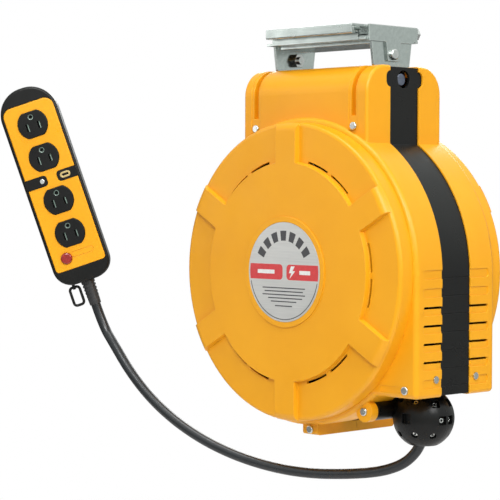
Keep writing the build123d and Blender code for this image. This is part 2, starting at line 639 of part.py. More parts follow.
with BuildPart() as axle:
    ring_y(AXLE_R, 0, -ARM_Y - SHEET, ARM_Y + SHEET)
    ring_y(AXLE_R - 2, 0, -ARM_Y - SHEET - 6, ARM_Y + SHEET + 6)
save(axle, "axle")

with BuildPart() as axle_nuts:
    for side in (-1, 1):
        with BuildSketch(at_y(side * (ARM_Y + SHEET))):
            with Locations((0, DRUM_Z)):
                RegularPolygon(15, 6)
                Circle(AXLE_R - 2 + RUN_FIT, mode=Mode.SUBTRACT)
        extrude(amount=-side * 5)
save(axle_nuts, "axle_nuts")

# ---------------------------------------------------------------- drum
WEB_HALF = CHAMBER_WEB / 2
BOSS_R = 20.0
SEAT_R = 70.0             # the front flange's opening, closed by the spring cover
BUSH_END = DRUM_FACE + 1.0
BUSH_IN = DRUM_Y - 24     # inner end of the rear bush
DRUM_BOLT_R = 34.0        # circle of the bolts that hold the ratchet wheel
SPRING_Y = (-DRUM_Y + 12, -10.0)
with BuildPart() as drum_hub:
    ring_y(CORE_R, SPRING_R, -DRUM_Y, DRUM_Y)
    ring_y(SPRING_R, BOSS_R, -WEB_HALF, WEB_HALF)
    ring_y(BOSS_R, AXLE_R + 1, -WEB_HALF, DRUM_FACE)
    ring_y(BUSH_R, 0, BUSH_IN, DRUM_FACE + 1, mode=Mode.SUBTRACT)
    for angle in range(0, 360, 60):
        spot = (50 * math.cos(math.radians(angle)), DRUM_Z + 50 * math.sin(math.radians(angle)))
        ring_y(11, 0, -WEB_HALF - 1, WEB_HALF + 1, spot, Mode.SUBTRACT)
save(drum_hub, "drum_hub")

with BuildPart() as drum_flange_front:
    ring_y(DRUM_FLANGE_R, SEAT_R, -DRUM_FACE, -DRUM_Y)
    fillet(drum_flange_front.edges().filter_by(GeomType.CIRCLE).filter_by(
        lambda e: e.radius > DRUM_FLANGE_R - 1), 1)
save(drum_flange_front, "drum_flange_front")

with BuildPart() as drum_flange_rear:
    ring_y(DRUM_FLANGE_R, SPRING_R, DRUM_Y, DRUM_FACE)
    fillet(drum_flange_rear.edges().filter_by(GeomType.CIRCLE).filter_by(
        lambda e: e.radius > DRUM_FLANGE_R - 1), 1)
save(drum_flange_rear, "drum_flange_rear")

with BuildPart() as spring_cover:
    ring_y(SEAT_R, BUSH_R, -DRUM_FACE, -DRUM_Y)
    ring_y(SPRING_R - SIDE_GAP, BUSH_R, -DRUM_Y, -DRUM_Y + 2)
    ring_y(BUSH_R + 4, BUSH_R, -DRUM_Y, -DRUM_Y + 8)
    for angle in range(0, 360, 60):
        turn = math.radians(angle)
        spot = (DRUM_BOLT_R * math.cos(turn), DRUM_Z + DRUM_BOLT_R * math.sin(turn))
        ring_y(SCREW_R + RUN_FIT, 0, -DRUM_FACE - 1, -DRUM_Y + 3, spot, Mode.SUBTRACT)
save(spring_cover, "spring_cover")

with BuildPart() as drum_bushes:
    ring_y(BUSH_R, AXLE_R + RUN_FIT, -BUSH_END, -DRUM_Y + 8)
    ring_y(BUSH_R, AXLE_R + RUN_FIT, BUSH_IN, BUSH_END)
save(drum_bushes, "drum_bushes")

STRIP = 1.2
STRIP_STEP = 2.5
HALF_TURNS = 20
with BuildPart() as mainspring:
    first = SPRING_R - SIDE_GAP - STRIP / 2 - STRIP_STEP * HALF_TURNS
    with BuildSketch(at_y(SPRING_Y[0])):
        with BuildLine():
            for edge in (STRIP / 2, -STRIP / 2):
                for turn in range(HALF_TURNS):
                    middle = (STRIP_STEP * (turn % 2), DRUM_Z)
                    CenterArc(middle, first + STRIP_STEP * turn + edge, 180 * (turn % 2), 180)
            for turn, side in ((0, 1), (HALF_TURNS, 1)):
                reach = first + STRIP_STEP * turn
                Line((reach - STRIP / 2, DRUM_Z), (reach + STRIP / 2, DRUM_Z))
        make_face()
    extrude(amount=SPRING_Y[0] - SPRING_Y[1])
save(mainspring, "mainspring")

with BuildPart() as spring_arbor:
    ring_y(ARBOR_R, AXLE_R, SPRING_Y[0] - 2, SPRING_Y[1] + 4)
    hook = SPRING_R - SIDE_GAP - STRIP * 1.5 - STRIP_STEP * HALF_TURNS
    block((ARBOR_R - 2, hook - SIDE_GAP), (SPRING_Y[0] + 2, SPRING_Y[1] - 2), (DRUM_Z - 2, DRUM_Z + 2))
save(spring_arbor, "spring_arbor")

TEETH = 24
TIP_R, ROOT_R = 44.0, 38.5
with BuildPart() as ratchet_wheel:
    with BuildSketch(at_y(-RATCHET_Y[0])):
        with BuildLine():
            corners = []
            for tooth in range(TEETH):
                lead_in = math.radians(360 / TEETH * tooth)
                step = math.radians(360 / TEETH * 0.12)
                corners.append((ROOT_R * math.cos(lead_in), DRUM_Z + ROOT_R * math.sin(lead_in)))
                corners.append((TIP_R * math.cos(lead_in + step), DRUM_Z + TIP_R * math.sin(lead_in + step)))
            Polyline(*corners, close=True)
        make_face()
        with Locations((0, DRUM_Z)):
            Circle(29, mode=Mode.SUBTRACT)
            with PolarLocations(DRUM_BOLT_R, 6):
                Circle(SCREW_R + RUN_FIT, mode=Mode.SUBTRACT)
    extrude(amount=RATCHET_Y[1] - RATCHET_Y[0])
save(ratchet_wheel, "ratchet_wheel")

with BuildPart() as drum_bolts:
    for angle in range(0, 360, 60):
        turn = math.radians(angle)
        spot = (DRUM_BOLT_R * math.cos(turn), DRUM_Z + DRUM_BOLT_R * math.sin(turn))
        ring_y(SCREW_R, 0, -RATCHET_Y[1], -DRUM_Y + 4, spot)
        ring_y(3.5, 0, -RATCHET_Y[1] - 1.4, -RATCHET_Y[1], spot)
save(drum_bolts, "drum_bolts")

RING_ROWS = (8.0, 15.0, 22.0)
RING_R, RING_CORE_R, RING_W = 31.0, 28.0, 5.0
HOLDER_X, HOLDER_TOP, HOLDER_H = 9.0, DRUM_Z - 37, 9.0
HOLDER_Y = ARM_Y - 3.6    # the holder's foot, against the rear arm
with BuildPart() as slip_ring_core:
    ring_y(RING_CORE_R, BOSS_R, WEB_HALF, RING_ROWS[-1] + RING_W + 3)
save(slip_ring_core, "slip_ring_core")

with BuildPart() as slip_rings:
    for row in RING_ROWS:
        ring_y(RING_R, RING_CORE_R, row, row + RING_W)
save(slip_rings, "slip_rings")

with BuildPart() as brush_holder:
    block((-HOLDER_X, HOLDER_X), (RING_ROWS[0] - 2, ARM_Y), (HOLDER_TOP - HOLDER_H, HOLDER_TOP))
    block((-HOLDER_X, HOLDER_X), (HOLDER_Y, ARM_Y), (HOLDER_TOP - HOLDER_H, DRUM_Z - AXLE_R - 7))
    fillet(brush_holder.edges().filter_by(Axis.Z), 1)
save(brush_holder, "brush_holder")

with BuildPart() as brushes:
    for row in RING_ROWS:
        block((-3, 3), (row + 0.5, row + RING_W - 0.5), (HOLDER_TOP, DRUM_Z - RING_R - SIDE_GAP))
save(brushes, "brushes")

with BuildPart() as cord_winding:
    ring_y(WOUND_R, CORE_R, -DRUM_Y, DRUM_Y)
save(cord_winding, "cord_winding")

PAWL_Y = (DRUM_FACE + 0.5, RATCHET_Y[1] + 0.2)
PAWL_REACH = (33.9, -32.6)
with BuildPart() as pawl:
    with BuildSketch(at_y(-PAWL_Y[0])):
        with Locations(PAWL_AT):
            Circle(7)
        x, z = PAWL_AT
        with BuildLine():
            Polyline((x - 3.5, z - 4), (x + 5, z + 3.5), (x + PAWL_REACH[0] + 3, z + PAWL_REACH[1] + 4),
                     (x + PAWL_REACH[0], z + PAWL_REACH[1]), close=True)
        make_face()
        with Locations(PAWL_AT):
            Circle(PAWL_PIN_R + RUN_FIT, mode=Mode.SUBTRACT)
    extrude(amount=PAWL_Y[1] - PAWL_Y[0])
save(pawl, "pawl")

with BuildPart() as pawl_pin:
    ring_y(PAWL_PIN_R, 0, -ARM_Y - SHEET - 1.5, -PAWL_Y[0], PAWL_AT)
    ring_y(PAWL_PIN_R + 2, 0, -ARM_Y - SHEET - 1.5, -ARM_Y - SHEET, PAWL_AT)
save(pawl_pin, "pawl_pin")

# ---------------------------------------------------------------- cord guide at the mouth
GUIDE_FLOOR = (-352.0, -348.0)
with BuildPart() as mouth_bumper:
    ring_z(BUMPER_R, CORD_R + 1, GUIDE_FLOOR[0] - 10, GUIDE_FLOOR[0], (LEAD_X, 0))
    with Locations((LEAD_X, 0, BALL_Z)):
        Sphere(BALL_R + SIDE_GAP, mode=Mode.SUBTRACT)
save(mouth_bumper, "mouth_bumper")

with BuildPart() as guide_block:
    block((LEAD_X - 24, BLOCK_X - BAND_INSET - WALL), (-21, 21), GUIDE_FLOOR)
    for side in (-1, 1):
        near = side * (ROLLER_HALF + SIDE_GAP)
        far = side * (ROLLER_HALF + SIDE_GAP + CHEEK)
        block((LEAD_X - 21, LEAD_X + 21), tuple(sorted((near, far))), (GUIDE_FLOOR[0], ROLLER_Z + 8))
    fillet(guide_block.edges().filter_by(Axis.Y).group_by(Axis.Z)[-1], 5)
    ring_z(CORD_R + 1, 0, GUIDE_FLOOR[0] - 1, GUIDE_FLOOR[1] + 1, (LEAD_X, 0), Mode.SUBTRACT)
    for side in (-1, 1):
        ring_y(ROLLER_PIN_R, 0, -30, 30, (LEAD_X + side * ROLLER_OFFSET, ROLLER_Z), Mode.SUBTRACT)
save(guide_block, "guide_block")

with BuildPart() as roller_pins:
    for side in (-1, 1):
        reach = ROLLER_HALF + SIDE_GAP + CHEEK
        ring_y(ROLLER_PIN_R, 0, -reach, reach, (LEAD_X + side * ROLLER_OFFSET, ROLLER_Z))
save(roller_pins, "roller_pins")

for side, name in ((-1, "guide_roller_left"), (1, "guide_roller_right")):
    with BuildPart() as roller:
        ring_y(ROLLER_R, ROLLER_PIN_R + RUN_FIT, -ROLLER_HALF, ROLLER_HALF,
               (LEAD_X + side * ROLLER_OFFSET, ROLLER_Z))
        fillet(roller.edges().filter_by(GeomType.CIRCLE).filter_by(lambda e: e.radius > ROLLER_R - 1), 0.8)
    save(roller, name)

with BuildPart() as cord_lead:
    ring_z(CORD_R, 0, CORD_ROUTE[0][2], DRUM_Z, (LEAD_X, 0))
save(cord_lead, "cord_lead")

# ---------------------------------------------------------------- ball stopper
# bearing and height about the ball's middle in degrees, and radius; a screw in every pocket but the first
POCKETS = [(6, 2, 5.0), (79, -1, 4.4), (-79, -1, 4.4), (67, 32, 4.4), (-67, 32, 4.4), (21, 37, 3.4),
           (-21, 37, 3.4), (21, -30, 3.4), (-21, -30, 3.4), (62, -32, 3.4), (-62, -32, 3.4)]
POCKET_FLOOR = BALL_R - 5.0
BALL_SCREW_R = 2.4


def pocket_plane(turn, rise, side):
    """A sketch plane on a pocket's floor, on the front (-1) or rear (1) half."""
    turn, rise = math.radians(turn), math.radians(rise)
    aim = Vector(math.sin(turn) * math.cos(rise), side * math.cos(turn) * math.cos(rise), math.sin(rise))
    floor = Vector(LEAD_X, 0, BALL_Z) + aim * POCKET_FLOOR
    return Plane(origin=floor, x_dir=aim.cross(Vector(0, 0, 1)), z_dir=aim)


def ball_half(side):
    """One half of the stopper: a sphere cut at Y = 0, with a channel and a bell mouth for the cord."""
    room = BALL_R + 10
    with BuildPart() as half:
        with Locations((LEAD_X, 0, BALL_Z)):
            Sphere(BALL_R)
        block((LEAD_X - room, LEAD_X + room), tuple(sorted((0, -side * room))),
              (BALL_Z - room, BALL_Z + room), Mode.SUBTRACT)
        ring_z(CORD_R + RUN_FIT, 0, BALL_Z - room, BALL_Z + room, (LEAD_X, 0), Mode.SUBTRACT)
        with Locations((LEAD_X, 0, BALL_Z - 19)):
            Cone(15.5, CORD_R + RUN_FIT, 24, mode=Mode.SUBTRACT)
        for turn, rise, radius in POCKETS:
            with BuildSketch(pocket_plane(turn, rise, side)) as pocket:
                if radius > 4:
                    RectangleRounded(2 * radius, 2 * radius, 1)
                else:
                    Circle(radius)
            extrude(pocket.sketch, amount=8, mode=Mode.SUBTRACT)
    return half.part


with BuildPart() as ball_half_front:
    add(ball_half(-1))
save(ball_half_front, "ball_half_front")

with BuildPart() as ball_half_rear:
    add(ball_half(1))
save(ball_half_rear, "ball_half_rear")

with BuildPart() as ball_screws:
    for side in (-1, 1):
        for turn, rise, _ in POCKETS[1:]:
            with BuildSketch(pocket_plane(turn, rise, side)):
                Circle(BALL_SCREW_R)
                RegularPolygon(1.3, 6, mode=Mode.SUBTRACT)
            extrude(amount=2.5)
save(ball_screws, "ball_screws")

# ---------------------------------------------------------------- casing screws
SCREW_ROWS = [(spot, HEAD_Y - 0.6) for spot in HEAD_SCREWS] + [(BODY_SCREWS[0], BODY_Y)]
SCREW_ROWS += [(spot, UNDER_Y) for spot in BODY_SCREWS[1:]]
with BuildPart() as shell_screws:
    for side in (-1, 1):
        for spot, face in SCREW_ROWS:
            ring_y(SCREW_R, 0, side * (face - SCREW_LENGTH), side * face, spot)
            ring_y(SCREW_HEAD_R, 0, side * face, side * (face + SCREW_HEAD), spot)
    crowns = shell_screws.edges().filter_by(GeomType.CIRCLE).filter_by(
        lambda e: min(abs(abs(e.center().Y) - face - SCREW_HEAD) for _, face in SCREW_ROWS) < 0.01)
    fillet(crowns, 1.2)
save(shell_screws, "shell_screws")

with BuildPart() as side_screws:
    for side in (-1, 1):
        for y, z in SIDE_SCREWS:
            ring_x(SCREW_R, 0, BLOCK_X - 16, BLOCK_X - 1, (side * y, z))
            ring_x(SIDE_HEAD_R, 0, BLOCK_X - 1, BLOCK_X + 0.8, (side * y, z))
save(side_screws, "side_screws")

# ---------------------------------------------------------------- free cord
FACING, LEAN = math.radians(TAP_FACING), math.radians(TAP_LEAN)
TAP = Plane(
    origin=TAP_CENTRE,
    x_dir=(math.cos(FACING) * math.cos(LEAN), math.sin(FACING) * math.cos(LEAN), math.sin(LEAN)),
    z_dir=(math.sin(FACING), -math.cos(FACING), 0),
)
CORD_END = TAP.from_local_coords((0, -TAP_L / 2 - TAP_BOOT, 0))
route = [Vector(*point) for point in CORD_ROUTE] + [CORD_END]
radii = []
for before, here, after in zip(route, route[1:], route[2:]):
    turn = math.radians((here - before).get_angle(after - here))
    shorter = min((here - before).length, (after - here).length)
    radii.append(0.45 * shorter / math.tan(turn / 2))
with BuildPart() as cord_free:
    with BuildLine() as path:
        FilletPolyline(*route, radius=radii)
    with BuildSketch(Plane(origin=route[0], z_dir=route[1] - route[0])):
        Circle(CORD_R)
    sweep()
save(cord_free, "cord_free")
cord_length = sum(edge.length for edge in path.edges())
print("cord radii", [round(r) for r in radii], "length", round(cord_length),
      "volume ratio", round(cord_free.part.volume / (math.pi * CORD_R**2 * cord_length), 4))

# ---------------------------------------------------------------- outlet strip on the cord's end
FACE = TAP_T / 2 - 1.5    # front of the case's rim, from the middle of its thickness
LEDGE = FACE - 4.5
PLATE_TOP, PLATE_BOTTOM = TAP_L / 2 - PLATE_END, -TAP_L / 2 + PLATE_END
PLATE_ROUND = (10.0, 4.0)           # top and bottom corners of the cover plate
PLATE_FIT = 0.2
OUTLETS = [OUTLET_MID + side * (OUTLET_GAP / 2 + far * OUTLET_PITCH) for side in (-1, 1) for far in (0, 1)]
ARM_END = TAP_W / 2 - 2.0
ARMS = ((-ARM_END, -5.0), (6.8, ARM_END))
ARM_HALF = 5.6
LAMP_AT = (-12.4, -79.3)
FRAME_AT = (6.2, -77.5)             # embossed frame beside the lamp
CLASP_SCREW_AT = (-10.3, OUTLET_MID)
EYELET_AT = (15.6, OUTLET_MID)
RING_AT = (-16.4, -TAP_L / 2 - 2.5)
BLADES = ((-BLADE_X, 8.6), (BLADE_X, 7.6))          # X and length of an outlet's two slots
BLADE_DROP, EARTH_RISE, EARTH_R = 2.4, 8.2, 3.0


def duplex(grow):
    """An outlet's face: a circle with two flats."""
    with BuildSketch(TAP) as shape:
        for y in OUTLETS:
            with Locations((0, y)):
                Circle(OUTLET_R + grow)
        for y in OUTLETS:
            for side in (-1, 1):
                with Locations((0, y + side * (OUTLET_FLAT + grow + 2.5))):
                    Rectangle(40, 5, mode=Mode.SUBTRACT)
    return shape.sketch


def tap_shape(low, high, half_w, top, bottom, top_round, bottom_round):
    """A flat-faced bar in the strip's own frame, with rounded ends, from low to high in thickness."""
    with BuildPart() as bar:
        with BuildSketch(TAP.offset(low)) as outline:
            with BuildLine():
                Polyline((-half_w, bottom), (half_w, bottom), (half_w, top), (-half_w, top), close=True)
            make_face()
        extrude(amount=high - low)
        upright = bar.edges().filter_by(lambda e: abs(e.length - (high - low)) < 1e-3)
        order = upright.sort_by(lambda e: TAP.to_local_coords(e.center()).Y)
        fillet(order[:2], bottom_round)
        upright = bar.edges().filter_by(lambda e: abs(e.length - (high - low)) < 1e-3 and
                                        TAP.to_local_coords(e.center()).Y > top - 1)
        fillet(upright, top_round)
    return bar.part


def arm_shape(grow, low, high):
    """The case's two arms across the cover, or the notches for them."""
    with BuildPart() as arms:
        for left, right in ARMS:
            with BuildSketch(TAP.offset(low)):
                with Locations(((left + right) / 2, OUTLET_MID)):
                    RectangleRounded(right - left + 2 * grow, 2 * (ARM_HALF + grow), 4)
            extrude(amount=high - low)
    return arms.part


with BuildPart() as tap_case:
    add(tap_shape(-TAP_T / 2, FACE, TAP_W / 2, TAP_L / 2, -TAP_L / 2, 29.5, 20))
    rims = tap_case.faces().filter_by(lambda f: abs(abs(f.normal_at().dot(TAP.z_dir)) - 1) < 1e-6)
    fillet(rims.sort_by(lambda f: TAP.to_local_coords(f.center()).Z)[0].edges(), 6)
    fillet(tap_case.faces().sort_by(lambda f: TAP.to_local_coords(f.center()).Z)[-1].edges(), 2.6)
    add(tap_shape(LEDGE, FACE + 5, PLATE_W / 2 + PLATE_FIT, PLATE_TOP + PLATE_FIT, PLATE_BOTTOM - PLATE_FIT,
                  *PLATE_ROUND), mode=Mode.SUBTRACT)
    add(tap_shape(-TAP_T / 2 + WALL, LEDGE + 1, PLATE_W / 2 - WALL, PLATE_TOP - WALL, PLATE_BOTTOM + WALL,
                  *PLATE_ROUND), mode=Mode.SUBTRACT)
    add(arm_shape(0, LEDGE, FACE + 0.8))
    with BuildSketch(TAP.offset(FACE - 1.2)):
        with Locations(EYELET_AT):
            SlotOverall(11.5, 6.5)
    extrude(amount=4, mode=Mode.SUBTRACT)
    with BuildSketch(TAP.offset(-2.0)):
        with Locations((RING_AT[0], RING_AT[1] + 2.5)):
            Rectangle(3, 10)
    extrude(amount=4)
    with BuildSketch(Plane(origin=TAP.from_local_coords((RING_AT[0] - 5, RING_AT[1], 0)), z_dir=TAP.x_dir)):
        Circle(1.5 + RUN_FIT)
    extrude(amount=10, mode=Mode.SUBTRACT)
save(tap_case, "tap_case")

with BuildPart() as tap_cover:
    add(tap_shape(LEDGE, FACE + 0.2, PLATE_W / 2, PLATE_TOP, PLATE_BOTTOM, *PLATE_ROUND))
    fillet(tap_cover.faces().sort_by(lambda f: TAP.to_local_coords(f.center()).Z)[-1].edges(), 1.2)
    add(arm_shape(SIDE_GAP, LEDGE - 1, FACE + 3), mode=Mode.SUBTRACT)
    for side in (-1, 1):
        with BuildSketch(TAP.offset(LEDGE - 1)):
            with Locations((side * (PLATE_W / 2 - 1), OUTLET_MID)):
                Rectangle(8, 2 * (ARM_HALF + SIDE_GAP))
        extrude(amount=8, mode=Mode.SUBTRACT)
    extrude(duplex(PLATE_FIT).moved(Location(TAP.z_dir * (LEDGE - 1))), amount=8, mode=Mode.SUBTRACT)
    with BuildSketch(TAP.offset(FACE - 0.3)):
        with Locations(FRAME_AT):
            RectangleRounded(25, 6.5, 3)
            RectangleRounded(23.6, 5.1, 2.4, mode=Mode.SUBTRACT)
    extrude(amount=2, mode=Mode.SUBTRACT)
    with BuildSketch(TAP.offset(LEDGE - 1)):
        with Locations(LAMP_AT):
            Circle(LAMP_R + 0.1)
    extrude(amount=8, mode=Mode.SUBTRACT)
save(tap_cover, "tap_cover")

with BuildPart() as tap_outlets:
    extrude(duplex(0).moved(Location(TAP.z_dir * (LEDGE - 6))), amount=FACE + 1.8 - LEDGE + 6)
    fronts = tap_outlets.faces().filter_by(
        lambda f: abs(TAP.to_local_coords(f.center()).Z - FACE - 1.8) < 0.01)
    chamfer(fronts.edges(), 0.6)
    for y in OUTLETS:
        with BuildSketch(TAP.offset(LEDGE - 2)):
            for x, tall in BLADES:
                with Locations((x, y - BLADE_DROP)):
                    Rectangle(BLADE_W, tall)
            with Locations((0, y + EARTH_RISE)):
                Circle(EARTH_R)
        extrude(amount=10, mode=Mode.SUBTRACT)
save(tap_outlets, "tap_outlets")

with BuildPart() as outlet_contacts:
    for y in OUTLETS:
        with BuildSketch(TAP.offset(LEDGE - 2)):
            for x, tall in BLADES:
                with Locations((x + BLADE_W / 2 - 0.6, y - BLADE_DROP)):
                    Rectangle(1.2, tall)
            with Locations((0, y + EARTH_RISE)):
                Circle(EARTH_R)
                Circle(EARTH_R - 0.9, mode=Mode.SUBTRACT)
        extrude(amount=5.5)
save(outlet_contacts, "outlet_contacts")

with BuildPart() as tap_lamp:
    with BuildSketch(TAP.offset(LEDGE)):
        with Locations(LAMP_AT):
            Circle(LAMP_R)
    extrude(amount=FACE + 3 - LEDGE)
    fillet(tap_lamp.faces().sort_by(lambda f: TAP.to_local_coords(f.center()).Z)[-1].edges(), 2)
save(tap_lamp, "tap_lamp")

with BuildPart() as tap_screw:
    with BuildSketch(TAP.offset(FACE + 0.8)):
        with Locations(CLASP_SCREW_AT):
            Circle(2.6)
    extrude(amount=1.0)
    fillet(tap_screw.faces().sort_by(lambda f: TAP.to_local_coords(f.center()).Z)[-1].edges(), 0.5)
save(tap_screw, "tap_screw")

with BuildPart() as tap_eyelet:
    with BuildSketch(TAP.offset(FACE - 1.2)):
        with Locations(EYELET_AT):
            SlotOverall(11.3, 6.3)
            SlotOverall(7.6, 2.6, mode=Mode.SUBTRACT)
    extrude(amount=2.6)
save(tap_eyelet, "tap_eyelet")

with BuildPart() as tap_strain_relief:
    with BuildSketch(Plane(origin=TAP.origin, x_dir=TAP.x_dir, z_dir=-TAP.z_dir)):
        with BuildLine():
            y0 = TAP_L / 2
            Polyline((0, y0), (7.6, y0), (6.2, y0 + TAP_BOOT), (0, y0 + TAP_BOOT), close=True)
        make_face()
        for rib in range(6):
            with Locations((7.9, y0 + 4 + rib * 3.8)):
                Rectangle(3, 1.5, mode=Mode.SUBTRACT)
    revolve(axis=Axis(TAP.origin, TAP.y_dir), revolution_arc=360)
save(tap_strain_relief, "tap_strain_relief")

with BuildPart() as hook_ring:
    with BuildLine() as loop:
        corners = [(-5.5, 0), (5.5, 0), (5.5, -20), (-5.5, -20)]
        FilletPolyline(*[TAP.from_local_coords((RING_AT[0] + x, RING_AT[1] + y, 0)) for x, y in corners],
                       radius=3.5, close=True)
    start = TAP.from_local_coords((RING_AT[0] + 5.5, RING_AT[1] - 10, 0))
    with BuildSketch(Plane(origin=start, z_dir=TAP.y_dir)):
        Circle(1.5)
    sweep()
save(hook_ring, "hook_ring")
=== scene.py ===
"""Ceiling-hung extension cord reel: looks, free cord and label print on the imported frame.

Lengths are in metres, in the row's frame, except where a name or comment says millimetres.
"""
import math

import bmesh
import bpy
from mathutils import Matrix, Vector


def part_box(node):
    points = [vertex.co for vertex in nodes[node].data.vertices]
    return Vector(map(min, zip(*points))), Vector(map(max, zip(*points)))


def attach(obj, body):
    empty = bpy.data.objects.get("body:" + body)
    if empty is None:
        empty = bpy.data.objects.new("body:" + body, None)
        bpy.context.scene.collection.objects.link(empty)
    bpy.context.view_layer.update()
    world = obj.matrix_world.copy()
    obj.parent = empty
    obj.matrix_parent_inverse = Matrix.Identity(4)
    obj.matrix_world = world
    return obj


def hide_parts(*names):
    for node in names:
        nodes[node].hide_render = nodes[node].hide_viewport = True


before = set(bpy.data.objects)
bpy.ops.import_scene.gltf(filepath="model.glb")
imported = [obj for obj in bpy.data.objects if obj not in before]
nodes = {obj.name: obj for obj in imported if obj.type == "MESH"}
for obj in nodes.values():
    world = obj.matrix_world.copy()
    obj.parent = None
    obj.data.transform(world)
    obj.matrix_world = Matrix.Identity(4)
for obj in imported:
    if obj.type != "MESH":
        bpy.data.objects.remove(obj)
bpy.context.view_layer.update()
scene = bpy.context.scene
MM = 0.001

# ---------------------------------------------------------------- camera
AZIMUTH, ELEVATION, ROLL = 45.97, 1.79, 0.22      # degrees
DISTANCE = 1.8659                                 # to the rim plane of the front disc
OFFSET_RIGHT, OFFSET_UP = -0.04028, 0.02196       # of the camera from the line through the disc's centre
LENS, SENSOR = 133.86, 36.0
DISC_RIM = 0.07345                                # the plane aimed at, in front of the drum's middle

low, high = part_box("front_disc_cover")
disc = Vector(((low.x + high.x) / 2, -DISC_RIM, (low.z + high.z) / 2))
azimuth, elevation, roll = (math.radians(a) for a in (AZIMUTH, ELEVATION, ROLL))
back = Vector((math.sin(azimuth) * math.cos(elevation), -math.cos(azimuth) * math.cos(elevation),
               math.sin(elevation)))
right = (-back).cross(Vector((0, 0, 1))).normalized()
up = back.cross(right)
right, up = right * math.cos(roll) + up * math.sin(roll), up * math.cos(roll) - right * math.sin(roll)
camera_data = bpy.data.cameras.new("camera")
camera_data.lens, camera_data.sensor_width = LENS, SENSOR
camera_data.clip_start, camera_data.clip_end = 0.05, 50
camera = bpy.data.objects.new("camera", camera_data)
scene.collection.objects.link(camera)
scene.camera = camera
turn = camera.matrix_world.to_3x3()
turn.col[0], turn.col[1], turn.col[2] = right, up, back
camera.matrix_world = turn.to_4x4()
camera.location = disc + back * DISTANCE + right * OFFSET_RIGHT + up * OFFSET_UP

# ---------------------------------------------------------------- the free cord
CORD_D = 0.0105
CORD_ROUTE = [
    (0.114, 0.0, -0.392), (0.114, 0.0, -0.407), (0.1084, -0.0009, -0.4211),
    (0.099, -0.0042, -0.4326), (0.087, -0.0084, -0.4405), (0.0674, -0.0155, -0.4473),
    (0.036, -0.0274, -0.4516), (-0.002, -0.0419, -0.4538), (-0.0394, -0.0561, -0.4505),
    (-0.0768, -0.0703, -0.442), (-0.1124, -0.0837, -0.4285), (-0.1465, -0.0948, -0.4101),
    (-0.1772, -0.1035, -0.3875), (-0.2044, -0.1099, -0.3603), (-0.2272, -0.1138, -0.3309),
    (-0.2437, -0.1143, -0.3133), (-0.2495, -0.1205, -0.2887),
]


def cord_along(name, points, diameter):
    """A round cord on one smooth NURBS spline through these control points."""
    curve = bpy.data.curves.new(name, "CURVE")
    curve.dimensions = "3D"
    curve.bevel_depth, curve.bevel_resolution, curve.use_fill_caps = 1.0, 8, True
    spline = curve.splines.new("NURBS")
    spline.points.add(len(points) - 1)
    for point, place in zip(spline.points, points):
        point.co, point.radius = (*place, 1), diameter / 2
    spline.order_u, spline.use_endpoint_u, spline.resolution_u = 3, True, 24
    made = bpy.data.objects.new(name, curve)
    scene.collection.objects.link(made)
    return made


cord = cord_along("free_cord", CORD_ROUTE, CORD_D)
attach(cord, "reel")
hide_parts("cord_free")


